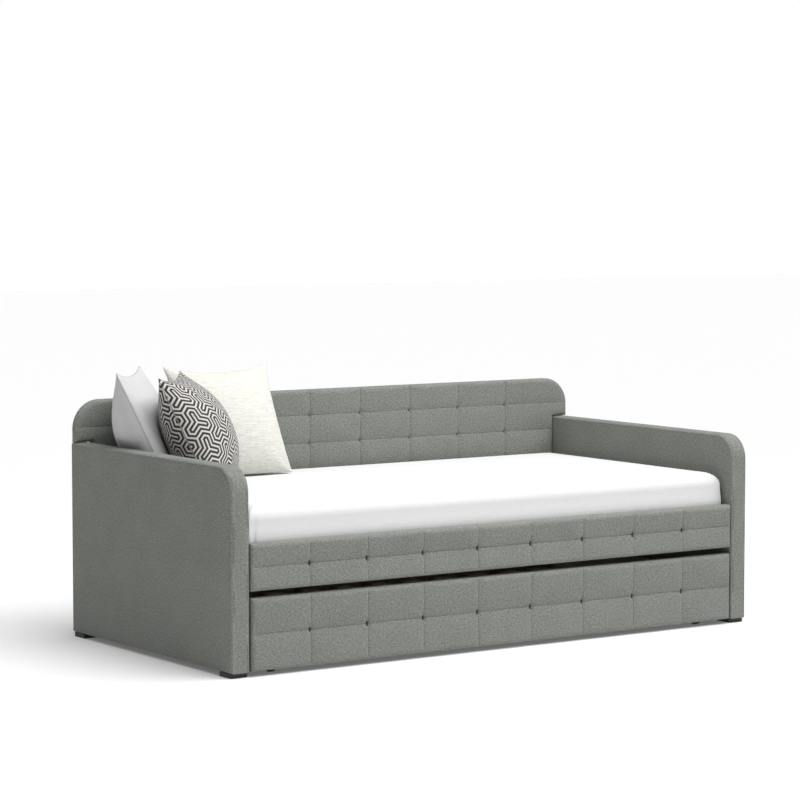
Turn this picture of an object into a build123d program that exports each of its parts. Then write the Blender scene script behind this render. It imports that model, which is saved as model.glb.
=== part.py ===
"""Upholstered daybed with a roll-out trundle, its mattress and three loose cushions.

Millimetres. +X runs along the bed, -Y is the front, +Z is up. The origin is on the floor,
under the centre of the bed.
"""

import os
from math import cos, radians, sin, tan

from build123d import *

os.makedirs("parts", exist_ok=True)

LOW = (Align.CENTER, Align.CENTER, Align.MIN)
HIGH = (Align.CENTER, Align.CENTER, Align.MAX)
SIDES = (("left", -1), ("right", 1))
ENDS = (("front", -1), ("back", 1))

# ---------------------------------------------------------------- overall sizes
overall_length = 2120.0
overall_depth = 1066.0
overall_height = 812.0
arm_height = 666.0
arm_thickness = 68.0
arm_corner_radius = 85.0
foot_height = 16.0

# ---------------------------------------------------------------- clearances
seat_gap = 0.3
slip = 0.1
running_clearance = 0.05

# ---------------------------------------------------------------- upholstery
side_padding = 10.0
edge_padding = 12.0
front_padding = 14.0
wrap_padding = 5.0
soft_edge = 8.0
seam_width = 3.0
seam_depth = 3.0
tuft_radius = 7.0
tuft_thickness = 2.5
tuft_depth = 5.0
column_count = 9

# ---------------------------------------------------------------- front rail and back panel
front_pad_proud = 4.0
rail_thickness = 36.0
rail_bottom = 271.0
rail_height = 151.0
rail_end_gap = 4.0
panel_thickness = 29.0
panel_front_padding = 12.0
panel_board_thickness = 15.0
panel_corner_radius = 100.0
panel_end_inset = 5.0
panel_side_gap = 1.5
overhang_corner_radius = 14.0
panel_edge_padding = 8.0
panel_column = 218.0
panel_row = 101.0
panel_rows = 3
panel_first_row = 93.0

# ---------------------------------------------------------------- timber in the arms
arm_post_width = 80.0
arm_window_count = 2

# ---------------------------------------------------------------- slat deck of the bed
deck_top = 336.0
slat_thickness = 18.0
slat_width = 70.0
slat_count = 13
slat_end_gap = 3.0
ledger_depth = 30.0
ledger_height = 30.0
ledger_end_gap = 67.0
strap_width = 25.0
strap_thickness = 1.5
strap_spacing = 600.0

# ---------------------------------------------------------------- brackets, bolts and screws
bracket_leg = 60.0
bracket_thickness = 3.0
bracket_height = 50.0
bolt_head_radius = 7.0
bolt_head_height = 4.0
bolt_radius = 4.0
bolt_spacing = 26.0
screw_head_radius = 4.0
screw_head_height = 2.5
screw_radius = 2.0
ledger_screw_count = 6
bolt_grip_in_arm = 26.0
grip_in_board = 8.0
board_screw_length = 46.0
bracket_screw_length = 14.0
fork_screw_length = 16.0

# ---------------------------------------------------------------- feet
foot_side_inset = 3.0
foot_end_inset = 13.0
foot_length = 66.0
foot_screw_spacing = 34.0
foot_screw_recess = 5.0
foot_screw_length = 40.0
foot_chamfer = 1.5
foot_recess_clearance = 1.0

# ---------------------------------------------------------------- mattress
mattress_left_gap = 43.0
mattress_right_gap = 27.0
mattress_front_gap = 11.0
mattress_back_gap = 10.0
mattress_thickness = 200.0
mattress_corner_radius = 60.0
mattress_edge_radius = 26.0

# ---------------------------------------------------------------- trundle
trundle_side_gap = 6.0
trundle_bottom = 17.0
finger_gap = 21.5
board_thickness = 18.0
board_bottom = 35.0
board_height = 150.0
board_inset = 10.0
trundle_back_recess = 15.0
bearer_width = 60.0
bearer_thickness = 20.0
trundle_slat_end_gap = 3.0
trundle_bracket_leg = 35.0
trundle_bracket_thickness = 2.5
trundle_bracket_height = 50.0
trundle_bracket_lift = 15.0
trundle_bracket_screw_reach = 21.0
back_screw_heights = (30.0, 120.0)
slat_row_end_gap = 10.0

# ---------------------------------------------------------------- trundle wheels
wheel_radius = 25.0
hub_radius = 19.0
hub_width = 22.0
tyre_width = 20.0
tyre_edge = 3.0
wheel_clearance = 4.0
wheel_from_side = 78.0
axle_radius = 4.0
axle_head_radius = 6.5
axle_head_height = 2.5
fork_plate = 3.0
fork_side_gap = 1.5
fork_cheek_width = 32.0
fork_cheek_drop = 10.0
fork_plate_length = 54.0
fork_plate_width = 66.0
fork_screw_x = 24.0
fork_screw_y = 18.0
fork_cheek_radius = 8.0
hub_chamfer = 1.0
hub_pocket_count = 5
hub_pocket_circle = 11.4
hub_pocket_radius = 3.4
hub_pocket_depth = 3.0

# ---------------------------------------------------------------- cushions
cushion_taper = 42.0
cushion_corner = 40.0
corner_turn = 50.0
corner_lean = 25.5
white_size = (345.0, 422.0)
white_front = 42.0
white_rear = 105.0
white_from_arm = 133.0
white_from_panel = 205.0
patterned_size = (370.0, 400.0)
patterned_front = 105.0
patterned_rear = 78.0
patterned_along = -48.0
cream_size = (345.0, 409.0)
cream_front = 95.0
cream_rear = 35.0
cream_from_arm = 481.0
cream_turn = -3.0
cream_lean = 26.8

# ---------------------------------------------------------------- places worked out from the sizes
arm_outer = overall_length / 2
arm_inner = arm_outer - arm_thickness
front_face = -overall_depth / 2
back_face = overall_depth / 2
arm_front = front_face + front_pad_proud
arm_depth = back_face - arm_front
rail_back = front_face + rail_thickness
rail_half = arm_inner - rail_end_gap
rail_top = rail_bottom + rail_height
panel_front = back_face - panel_thickness
board_front = panel_front + panel_front_padding
panel_half = arm_inner - panel_side_gap
overhang_half = arm_outer - panel_end_inset
overhang_bottom = arm_height + seat_gap
slat_bottom = deck_top - slat_thickness
mattress_bottom = deck_top + seat_gap
mattress_top = mattress_bottom + mattress_thickness

trundle_half = arm_inner - trundle_side_gap
trundle_top = rail_bottom - finger_gap
board_outer = trundle_half - board_inset
board_inner = board_outer - board_thickness
trundle_back = back_face - trundle_back_recess
trundle_inner_back = trundle_back - board_thickness
wheel_top = 2 * wheel_radius
fork_bottom = wheel_top + wheel_clearance
bearer_bottom = fork_bottom + fork_plate
bearer_top = bearer_bottom + bearer_thickness
trundle_deck = bearer_top + slat_thickness
wheel_x = board_inner - wheel_from_side
front_wheel_y = rail_back + bearer_width / 2
back_wheel_y = trundle_inner_back - bearer_width / 2
cheek_offset = hub_width / 2 + fork_side_gap


# ================================================================ fasteners: where each one goes
def plane_facing(point, direction):
    """A plane at the point whose normal is the way that a bolt's or screw's head faces."""
    return Plane(origin=point, z_dir=direction)


def frame_bolt_planes():
    """Two bolts through each leg of the four corner brackets of the bed."""
    middle = slat_bottom - bracket_height / 2 + bracket_thickness
    planes = []
    for _, side in SIDES:
        for face, inward in ((rail_back, 1), (panel_front, -1)):
            for lift in (-bolt_spacing / 2, bolt_spacing / 2):
                z = middle + lift
                leg = bracket_leg / 2
                on_arm = (side * (arm_inner - bracket_thickness), face + inward * leg, z)
                on_rail = (side * (arm_inner - leg), face + inward * bracket_thickness, z)
                planes.append(plane_facing(on_arm, (-side, 0, 0)))
                planes.append(plane_facing(on_rail, (0, inward, 0)))
    return planes


def ledger_screw_planes():
    """A row of screws through each ledger into the rail and the back panel."""
    reach = arm_inner - ledger_end_gap - 2 * ledger_depth
    step = 2 * reach / (ledger_screw_count - 1)
    z = slat_bottom - ledger_height / 2
    planes = []
    for index in range(ledger_screw_count):
        x = -reach + index * step
        planes.append(plane_facing((x, rail_back + ledger_depth, z), (0, 1, 0)))
        planes.append(plane_facing((x, panel_front - ledger_depth, z), (0, -1, 0)))
    return planes


def foot_centres():
    """The middle of each foot: name, x and y."""
    reach = foot_end_inset + foot_length / 2
    places = []
    for end, _ in ENDS:
        y = arm_front + reach if end == "front" else back_face - reach
        for name, side in SIDES:
            places.append((f"{end}_{name}", side * (arm_outer - arm_thickness / 2), y))
    return places


def foot_screw_points():
    """Two screws in each foot, from below."""
    points = []
    for _, x, y in foot_centres():
        for step in (-foot_screw_spacing / 2, foot_screw_spacing / 2):
            points.append((x, y + step, foot_screw_recess))
    return points


def wheel_centres():
    """The middle of each wheel: name, x and y."""
    places = []
    for end, y in (("front", front_wheel_y), ("back", back_wheel_y)):
        for name, side in SIDES:
            places.append((f"{end}_{name}", side * wheel_x, y))
    return places


def fork_screw_points(x, y):
    """Four screws hold a fork's plate under the bearer."""
    points = []
    for dx in (-fork_screw_x, fork_screw_x):
        for dy in (-fork_screw_y, fork_screw_y):
            points.append((x + dx, y + dy, fork_bottom))
    return points


def trundle_bracket_planes():
    """One flush screw in each leg of the four corner brackets of the trundle."""
    z = trundle_deck + trundle_bracket_lift + trundle_bracket_height / 2
    leg = trundle_bracket_screw_reach
    planes = []
    for _, side in SIDES:
        for face, inward in ((rail_back, 1), (trundle_inner_back, -1)):
            inner_x = side * (board_inner - trundle_bracket_thickness)
            on_side = (inner_x, face + inward * leg, z)
            on_end = (side * (board_inner - leg), face + inward * trundle_bracket_thickness, z)
            planes.append(plane_facing(on_side, (-side, 0, 0)))
            planes.append(plane_facing(on_end, (0, inward, 0)))
    return planes


def trundle_board_planes():
    """Flush screws through the sides into the bearers, and through the back into the sides."""
    planes = []
    bearer_z = bearer_bottom + bearer_thickness / 2
    for _, side in SIDES:
        for y in (front_wheel_y, back_wheel_y):
            for step in (-bearer_width / 4, bearer_width / 4):
                planes.append(plane_facing((side * board_outer, y + step, bearer_z), (side, 0, 0)))
        for height in back_screw_heights:
            z = board_bottom + height
            x = side * (board_outer - board_thickness / 2)
            planes.append(plane_facing((x, trundle_back, z), (0, 1, 0)))
    return planes


bolt_planes = frame_bolt_planes()
ledger_planes = ledger_screw_planes()
trundle_bracket_screws = trundle_bracket_planes()
trundle_board_screws = trundle_board_planes()
arm_bolt_length = bracket_thickness + side_padding + bolt_grip_in_arm
rail_bolt_length = bracket_thickness + panel_front_padding + grip_in_board
ledger_screw_length = ledger_depth + panel_front_padding + grip_in_board


def bolt_reach(plane):
    """A bolt that runs along the bed goes deep into an arm; one in a rail or panel is short."""
    return arm_bolt_length if abs(plane.z_dir.X) > 0.5 else rail_bolt_length


def bolt_holes():
    """Clearance holes for the frame bolts, in the piece being made."""
    for plane in bolt_planes:
        with Locations(plane):
            Cylinder(bolt_radius + slip, bolt_reach(plane) + slip, align=HIGH, mode=Mode.SUBTRACT)


def screw_holes(planes, length):
    """Pilot holes for screws whose heads stand on or lie flush in the face."""
    with Locations(*planes):
        Cylinder(screw_radius + slip, length + slip, align=HIGH, mode=Mode.SUBTRACT)


def flush_screw_holes(planes, length):
    """Pilot holes with a seat for a head that lies flush."""
    screw_holes(planes, length)
    with Locations(*planes):
        Cylinder(screw_head_radius + slip, screw_head_height, align=HIGH, mode=Mode.SUBTRACT)


def screws(planes, length, head_align):
    """Screws at the planes, in the piece being made."""
    with Locations(*planes):
        Cylinder(screw_radius, length, align=HIGH)
        Cylinder(screw_head_radius, screw_head_height, align=head_align)


# ================================================================ arms
def arm_outline(inset, base):
    """An arm seen from its side, with a round top front corner."""
    height = arm_height - inset - base
    depth = arm_depth - 2 * inset
    with Locations(((arm_front + back_face) / 2, base + height / 2)):
        outline = Rectangle(depth, height)
    corner = outline.vertices().group_by(Axis.Y)[-1].sort_by(Axis.X)[0]
    fillet(corner, arm_corner_radius - inset)


for name, side in SIDES:
    middle = side * (arm_outer - arm_thickness / 2)
    core_thickness = arm_thickness - 2 * side_padding
    core_top = arm_height - edge_padding
    window_height = core_top - foot_height - 2 * arm_post_width
    inner_depth = arm_depth - 2 * edge_padding - (arm_window_count + 1) * arm_post_width
    window_depth = inner_depth / arm_window_count
    window_centre = ((arm_front + back_face) / 2, foot_height + arm_post_width + window_height / 2)

    with BuildPart() as arm_core:
        with BuildSketch(Plane.YZ.offset(middle)):
            arm_outline(edge_padding, foot_height)
            with Locations(window_centre):
                with GridLocations(window_depth + arm_post_width, 0, arm_window_count, 1):
                    Rectangle(window_depth, window_height, mode=Mode.SUBTRACT)
        extrude(amount=core_thickness / 2, both=True)
        bolt_holes()
        with Locations(*foot_screw_points()):
            Cylinder(screw_radius + slip, foot_screw_length + slip, align=LOW, mode=Mode.SUBTRACT)
    arm_core.part.label = f"{name}_arm_core"
    export_step(arm_core.part, f"parts/{name}_arm_core.step")

    with BuildPart() as arm_cover:
        with BuildSketch(Plane.YZ.offset(middle)):
            arm_outline(0, foot_height)
        extrude(amount=arm_thickness / 2, both=True)
        rim = [face.edges() for face in arm_cover.faces().filter_by(Axis.X)]
        upper = [edge for edges in rim for edge in edges if edge.center().Z > foot_height + 1]
        fillet(upper, soft_edge)
        with BuildSketch(Plane.YZ.offset(middle)):
            arm_outline(edge_padding, foot_height)
        extrude(amount=core_thickness / 2, both=True, mode=Mode.SUBTRACT)
        bolt_holes()
    arm_cover.part.label = f"{name}_arm_cover"
    export_step(arm_cover.part, f"parts/{name}_arm_cover.step")


# ================================================================ feet
foot_recess_radius = screw_head_radius + foot_recess_clearance
for name, x, y in foot_centres():
    with BuildPart() as foot:
        with Locations((x, y, 0)):
            Box(arm_thickness - 2 * foot_side_inset, foot_length, foot_height, align=LOW)
        chamfer(foot.edges().group_by(Axis.Z)[0], foot_chamfer)
        with Locations((x, y, 0)):
            with GridLocations(0, foot_screw_spacing, 1, 2):
                Cylinder(screw_radius + slip, foot_height, align=LOW, mode=Mode.SUBTRACT)
                Cylinder(foot_recess_radius, foot_screw_recess, align=LOW, mode=Mode.SUBTRACT)
    foot.part.label = f"{name}_foot"
    export_step(foot.part, f"parts/{name}_foot.step")

with BuildPart() as foot_screws:
    with Locations(*foot_screw_points()):
        Cylinder(screw_radius, foot_screw_length, align=LOW)
        Cylinder(screw_head_radius, screw_head_height, align=HIGH)
foot_screws.part.label = "foot_screws"
export_step(foot_screws.part, "parts/foot_screws.step")


# ================================================================ padded fronts: bed rail and trundle
def padded_front(name, half, bottom, top, holes):
    """A board wrapped on its front, top and bottom with quilted padding, and its tufts.

    The padding is sewn into equal columns and two rows, with a tuft where the seams cross.
    """
    height = top - bottom
    middle = bottom + height / 2
    board = rail_thickness - front_padding
    column = 2 * half / column_count

    with BuildPart() as core:
        with Locations((0, rail_back - board / 2, middle)):
            Box(2 * (half - wrap_padding), board, height - 2 * wrap_padding)
        holes()
    core.part.label = f"{name}_core"
    export_step(core.part, f"parts/{name}_core.step")

    with BuildPart() as cover:
        with Locations((0, rail_back - rail_thickness / 2, middle)):
            Box(2 * half, rail_thickness, height)
        fillet(cover.faces().sort_by(Axis.Y)[0].edges(), soft_edge)
        with Locations((0, rail_back - board / 2, middle)):
            Box(2 * (half - wrap_padding), board, height - 2 * wrap_padding, mode=Mode.SUBTRACT)
        with Locations((0, front_face + seam_depth / 2, middle)):
            Box(2 * half, seam_depth, seam_width, mode=Mode.SUBTRACT)
            with GridLocations(column, 0, column_count - 1, 1):
                Box(seam_width, seam_depth, height, mode=Mode.SUBTRACT)
        with Locations(Plane((0, front_face, middle), x_dir=(1, 0, 0), z_dir=(0, -1, 0))):
            with GridLocations(column, 0, column_count - 1, 1):
                Cylinder(tuft_radius + slip, tuft_depth, align=HIGH, mode=Mode.SUBTRACT)
    cover.part.label = f"{name}_cover"
    export_step(cover.part, f"parts/{name}_cover.step")

    seat = Plane((0, front_face + tuft_depth, middle), x_dir=(1, 0, 0), z_dir=(0, -1, 0))
    with BuildPart() as tufts:
        with Locations(seat):
            with GridLocations(column, 0, column_count - 1, 1):
                Cylinder(tuft_radius, tuft_thickness, align=LOW)
    tufts.part.label = f"{name}_tufts"
    export_step(tufts.part, f"parts/{name}_tufts.step")


def rail_holes():
    """Holes in the bed's front rail for the bracket bolts and the ledger screws."""
    bolt_holes()
    screw_holes(ledger_planes, ledger_screw_length)


padded_front("front_rail", rail_half, rail_bottom, rail_top, rail_holes)
padded_front(
    "trundle_front",
    trundle_half,
    trundle_bottom,
    trundle_top,
    lambda: screw_holes(trundle_bracket_screws, bracket_screw_length),
)


# ================================================================ back panel
def back_outline(inset):
    """The back panel seen from the front: a T whose arms rest on top of the bed's arms."""
    lower_height = overhang_bottom - rail_bottom
    upper_height = overall_height - overhang_bottom
    with Locations((0, overhang_bottom + upper_height / 2)):
        upper = Rectangle(2 * (overhang_half - inset), upper_height - 2 * inset)
    corners = upper.vertices().group_by(Axis.Y)
    fillet(corners[-1], panel_corner_radius - inset)
    fillet(corners[0], overhang_corner_radius)
    with Locations((0, rail_bottom + inset + lower_height / 2)):
        Rectangle(2 * (panel_half - inset), lower_height)


def panel_tuft_plane(y):
    """The middle of the rows of tufts in the back panel, at depth y."""
    middle = overall_height - panel_first_row - panel_row * (panel_rows - 1) / 2
    return Plane((0, y, middle), x_dir=(1, 0, 0), z_dir=(0, -1, 0))


with BuildPart() as back_panel_board:
    with BuildSketch(Plane.XZ.offset(-board_front - panel_board_thickness)):
        back_outline(panel_edge_padding)
    extrude(amount=panel_board_thickness)
    bolt_holes()
    screw_holes(ledger_planes, ledger_screw_length)
back_panel_board.part.label = "back_panel_board"
export_step(back_panel_board.part, "parts/back_panel_board.step")

with BuildPart() as back_panel_cover:
    with BuildSketch(Plane.XZ.offset(-back_face)):
        back_outline(0)
    extrude(amount=panel_thickness)
    fillet(back_panel_cover.faces().sort_by(Axis.Y)[0].edges(), soft_edge)
    with BuildSketch(Plane.XZ.offset(-back_face)):
        back_outline(panel_edge_padding)
    extrude(amount=panel_thickness - panel_front_padding, mode=Mode.SUBTRACT)
    with Locations(panel_tuft_plane(panel_front + seam_depth / 2)):
        with GridLocations(0, panel_row, 1, panel_rows):
            Box(2 * panel_half, seam_width, seam_depth, mode=Mode.SUBTRACT)
    with Locations((0, panel_front + seam_depth / 2, (overall_height + rail_bottom) / 2)):
        with GridLocations(panel_column, 0, column_count - 1, 1):
            Box(seam_width, seam_depth, overall_height - rail_bottom, mode=Mode.SUBTRACT)
    with Locations(panel_tuft_plane(panel_front)):
        with GridLocations(panel_column, panel_row, column_count - 1, panel_rows):
            Cylinder(tuft_radius + slip, tuft_depth, align=HIGH, mode=Mode.SUBTRACT)
    bolt_holes()
    screw_holes(ledger_planes, ledger_screw_length)
back_panel_cover.part.label = "back_panel_cover"
export_step(back_panel_cover.part, "parts/back_panel_cover.step")

with BuildPart() as back_panel_rear:
    with BuildSketch(Plane.XZ.offset(-back_face)):
        back_outline(panel_edge_padding)
    extrude(amount=back_face - board_front - panel_board_thickness)
back_panel_rear.part.label = "back_panel_rear"
export_step(back_panel_rear.part, "parts/back_panel_rear.step")

with BuildPart() as back_panel_tufts:
    with Locations(panel_tuft_plane(panel_front + tuft_depth)):
        with GridLocations(panel_column, panel_row, column_count - 1, panel_rows):
            Cylinder(tuft_radius, tuft_thickness, align=LOW)
back_panel_tufts.part.label = "back_panel_tufts"
export_step(back_panel_tufts.part, "parts/back_panel_tufts.step")


# ================================================================ slat deck of the bed
ledger_half = arm_inner - ledger_end_gap
for name, y in (("front", rail_back + ledger_depth / 2), ("back", panel_front - ledger_depth / 2)):
    with BuildPart() as ledger:
        with Locations((0, y, slat_bottom)):
            Box(2 * ledger_half, ledger_depth, ledger_height, align=HIGH)
        screw_holes(ledger_planes, ledger_screw_length)
    ledger.part.label = f"{name}_ledger"
    export_step(ledger.part, f"parts/{name}_ledger.step")

with BuildPart() as ledger_screws:
    screws(ledger_planes, ledger_screw_length, LOW)
ledger_screws.part.label = "ledger_screws"
export_step(ledger_screws.part, "parts/ledger_screws.step")


def slat_row(prefix, front, back, bottom, reach):
    """Slats laid from front to back, and the two tapes stapled under them."""
    length = back - front
    pitch = (2 * reach - slat_width) / (slat_count - 1)
    with BuildPart() as slats:
        with Locations((0, front + length / 2, bottom)):
            with GridLocations(pitch, 0, slat_count, 1):
                Box(slat_width, length, slat_thickness, align=LOW)
    slats.part.label = f"{prefix}slats"
    export_step(slats.part, f"parts/{prefix}slats.step")

    with BuildPart() as straps:
        with Locations((0, front + length / 2, bottom)):
            with GridLocations(0, strap_spacing, 1, 2):
                Box(2 * reach, strap_width, strap_thickness, align=HIGH)
    straps.part.label = f"{prefix}slat_straps"
    export_step(straps.part, f"parts/{prefix}slat_straps.step")


slat_row(
    "",
    rail_back + slat_end_gap,
    panel_front - slat_end_gap,
    slat_bottom,
    ledger_half - slat_row_end_gap,
)


# ================================================================ corner brackets and bolts of the bed
def angle_brackets(faces, half, leg, thickness, height, middle):
    """Four steel angles, one in each inner corner, in the piece being made."""
    for _, side in SIDES:
        for face, inward in faces:
            with Locations((side * (half - leg / 2), face + inward * thickness / 2, middle)):
                Box(leg, thickness, height)
            with Locations((side * (half - thickness / 2), face + inward * leg / 2, middle)):
                Box(thickness, leg, height)


with BuildPart() as frame_brackets:
    angle_brackets(
        ((rail_back, 1), (panel_front, -1)),
        arm_inner,
        bracket_leg,
        bracket_thickness,
        bracket_height,
        slat_bottom - bracket_height / 2 + bracket_thickness,
    )
    bolt_holes()
frame_brackets.part.label = "frame_brackets"
export_step(frame_brackets.part, "parts/frame_brackets.step")

with BuildPart() as frame_bolts:
    for plane in bolt_planes:
        with Locations(plane):
            Cylinder(bolt_head_radius, bolt_head_height, align=LOW)
            Cylinder(bolt_radius, bolt_reach(plane), align=HIGH)
frame_bolts.part.label = "frame_bolts"
export_step(frame_bolts.part, "parts/frame_bolts.step")


# ================================================================ mattress
mattress_left = -arm_inner + mattress_left_gap
mattress_right = arm_inner - mattress_right_gap
mattress_front = rail_back + mattress_front_gap
mattress_back = panel_front - mattress_back_gap
with BuildPart() as mattress:
    middle = ((mattress_left + mattress_right) / 2, (mattress_front + mattress_back) / 2)
    with BuildSketch(Plane.XY.offset(mattress_bottom)):
        with Locations(middle):
            RectangleRounded(
                mattress_right - mattress_left,
                mattress_back - mattress_front,
                mattress_corner_radius,
            )
    extrude(amount=mattress_thickness)
    fillet(mattress.faces().sort_by(Axis.Z)[-1].edges(), mattress_edge_radius)
    fillet(mattress.faces().sort_by(Axis.Z)[0].edges(), mattress_edge_radius / 2)
mattress.part.label = "mattress"
export_step(mattress.part, "parts/mattress.step")


# ================================================================ cushions
def cushion(name, size, front, rear, x, y, turn, lean):
    """A stuffed square that stands on the mattress, turned about Z and leaning back.

    It is widest at its seam and slopes in towards a smaller flat on each face.
    """
    facing = Vector(sin(radians(turn)), -cos(radians(turn)), 0)
    normal = facing * cos(radians(lean)) + Vector(0, 0, sin(radians(lean)))
    z = mattress_top + seat_gap + size[1] / 2 * cos(radians(lean))
    seam = Plane(
        origin=(x, y, z),
        x_dir=(cos(radians(turn)), sin(radians(turn)), 0),
        z_dir=normal,
    )
    with BuildPart() as pillow:
        for thickness in (front, -rear):
            shrink = 2 * abs(thickness) * tan(radians(cushion_taper))
            with BuildSketch(seam):
                RectangleRounded(size[0], size[1], cushion_corner)
            with BuildSketch(seam.offset(thickness)):
                RectangleRounded(size[0] - shrink, size[1] - shrink, cushion_corner)
            loft()
    pillow.part.label = name
    export_step(pillow.part, f"parts/{name}.step")


white_x = -arm_inner + white_from_arm
white_y = panel_front - white_from_panel
lift = (patterned_size[1] - white_size[1]) / 2 * cos(radians(corner_lean))
spacing = white_front + seat_gap + patterned_rear
step_out = (spacing - lift * sin(radians(corner_lean))) / cos(radians(corner_lean))
turn_sin = sin(radians(corner_turn))
turn_cos = cos(radians(corner_turn))
patterned_x = white_x + step_out * turn_sin + patterned_along * turn_cos
patterned_y = white_y - step_out * turn_cos + patterned_along * turn_sin
cream_z = mattress_top + cream_size[1] / 2 * cos(radians(cream_lean))
cream_touch = min(overall_height, cream_z + cream_size[1] / 2) - cream_z
cream_swing = cream_size[0] / 2 * sin(radians(abs(cream_turn)))
cream_depth = cream_rear / cos(radians(cream_lean)) + cream_touch * tan(radians(cream_lean))
cream_y = panel_front - seat_gap - cream_swing - cream_depth

cushion(
    "white_pillow",
    white_size,
    white_front,
    white_rear,
    white_x,
    white_y,
    corner_turn,
    corner_lean,
)
cushion(
    "patterned_cushion",
    patterned_size,
    patterned_front,
    patterned_rear,
    patterned_x,
    patterned_y,
    corner_turn,
    corner_lean,
)
cushion(
    "cream_cushion",
    cream_size,
    cream_front,
    cream_rear,
    -arm_inner + cream_from_arm,
    cream_y,
    cream_turn,
    cream_lean,
)


# ================================================================ trundle boards
for name, side in SIDES:
    with BuildPart() as side_board:
        length = trundle_inner_back - rail_back
        middle = (side * (board_outer - board_thickness / 2), rail_back + length / 2, board_bottom)
        with Locations(middle):
            Box(board_thickness, length, board_height, align=LOW)
        flush_screw_holes(trundle_board_screws, board_screw_length)
        screw_holes(trundle_bracket_screws, bracket_screw_length)
    side_board.part.label = f"trundle_{name}_side"
    export_step(side_board.part, f"parts/trundle_{name}_side.step")

with BuildPart() as trundle_back_board:
    with Locations((0, trundle_back - board_thickness / 2, board_bottom)):
        Box(2 * board_outer, board_thickness, board_height, align=LOW)
    flush_screw_holes(trundle_board_screws, board_screw_length)
    screw_holes(trundle_bracket_screws, bracket_screw_length)
trundle_back_board.part.label = "trundle_back_board"
export_step(trundle_back_board.part, "parts/trundle_back_board.step")

fork_hole_depth = fork_screw_length + slip
for name, y in (("front", front_wheel_y), ("back", back_wheel_y)):
    with BuildPart() as bearer:
        with Locations((0, y, bearer_bottom)):
            Box(2 * board_inner, bearer_width, bearer_thickness, align=LOW)
        screw_holes(trundle_board_screws, board_screw_length)
        for _, x, wheel_y in wheel_centres():
            with Locations(*fork_screw_points(x, wheel_y)):
                Cylinder(screw_radius + slip, fork_hole_depth, align=LOW, mode=Mode.SUBTRACT)
    bearer.part.label = f"trundle_{name}_bearer"
    export_step(bearer.part, f"parts/trundle_{name}_bearer.step")

slat_row(
    "trundle_",
    rail_back + trundle_slat_end_gap,
    trundle_inner_back - trundle_slat_end_gap,
    bearer_top,
    board_inner - trundle_bracket_leg,
)

with BuildPart() as trundle_brackets:
    angle_brackets(
        ((rail_back, 1), (trundle_inner_back, -1)),
        board_inner,
        trundle_bracket_leg,
        trundle_bracket_thickness,
        trundle_bracket_height,
        trundle_deck + trundle_bracket_lift + trundle_bracket_height / 2,
    )
    flush_screw_holes(trundle_bracket_screws, bracket_screw_length)
trundle_brackets.part.label = "trundle_brackets"
export_step(trundle_brackets.part, "parts/trundle_brackets.step")

with BuildPart() as trundle_screws:
    screws(trundle_bracket_screws, bracket_screw_length, HIGH)
    screws(trundle_board_screws, board_screw_length, HIGH)
trundle_screws.part.label = "trundle_screws"
export_step(trundle_screws.part, "parts/trundle_screws.step")


# ================================================================ wheels, axles and forks
for name, x, y in wheel_centres():
    across = Plane(origin=(x, y, wheel_radius), z_dir=(1, 0, 0))

    with BuildPart() as fork:
        with Locations((x, y, fork_bottom)):
            Box(fork_plate_width, fork_plate_length, fork_plate, align=LOW)
        drop = fork_bottom - wheel_radius + fork_cheek_drop
        for side in (-1, 1):
            with Locations((x + side * (cheek_offset + fork_plate / 2), y, fork_bottom)):
                Box(fork_plate, fork_cheek_width, drop, align=HIGH)
        lower = fork.edges().filter_by(Axis.X).group_by(Axis.Z)[0]
        fillet(lower, fork_cheek_radius)
        with Locations(across):
            Cylinder(axle_radius, fork_plate_width, mode=Mode.SUBTRACT)
        with Locations(*fork_screw_points(x, y)):
            Cylinder(screw_radius + slip, fork_plate, align=LOW, mode=Mode.SUBTRACT)
    fork.part.label = f"{name}_fork"
    export_step(fork.part, f"parts/{name}_fork.step")

    with BuildPart() as axle:
        outside = cheek_offset + fork_plate
        with Locations(across):
            Cylinder(axle_radius, 2 * outside)
        for side in (-1, 1):
            with Locations(across.offset(side * (outside + axle_head_height / 2))):
                Cylinder(axle_head_radius, axle_head_height)
    axle.part.label = f"{name}_axle"
    export_step(axle.part, f"parts/{name}_axle.step")

    with BuildPart() as wheel:
        with Locations(across):
            Cylinder(hub_radius, hub_width)
            Cylinder(axle_radius + running_clearance, hub_width, mode=Mode.SUBTRACT)
        rims = wheel.edges().filter_by(GeomType.CIRCLE)
        chamfer(rims.filter_by(lambda edge: edge.radius > axle_radius + 1), hub_chamfer)
        for side in (-1, 1):
            with Locations(across.offset(side * hub_width / 2)):
                with PolarLocations(hub_pocket_circle, hub_pocket_count):
                    Cylinder(hub_pocket_radius, 2 * hub_pocket_depth, mode=Mode.SUBTRACT)
    wheel.part.label = f"{name}_wheel"
    export_step(wheel.part, f"parts/{name}_wheel.step")

    with BuildPart() as tyre:
        with Locations(across):
            Cylinder(wheel_radius, tyre_width)
            Cylinder(hub_radius, tyre_width, mode=Mode.SUBTRACT)
        rims = tyre.edges().filter_by(GeomType.CIRCLE)
        fillet(rims.filter_by(lambda edge: edge.radius > hub_radius + 1), tyre_edge)
    tyre.part.label = f"{name}_tyre"
    export_step(tyre.part, f"parts/{name}_tyre.step")

with BuildPart() as fork_screws:
    for _, x, y in wheel_centres():
        with Locations(*fork_screw_points(x, y)):
            Cylinder(screw_radius, fork_screw_length, align=LOW)
            Cylinder(screw_head_radius, screw_head_height, align=HIGH)
fork_screws.part.label = "fork_screws"
export_step(fork_screws.part, "parts/fork_screws.step")
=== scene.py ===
import math

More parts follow.
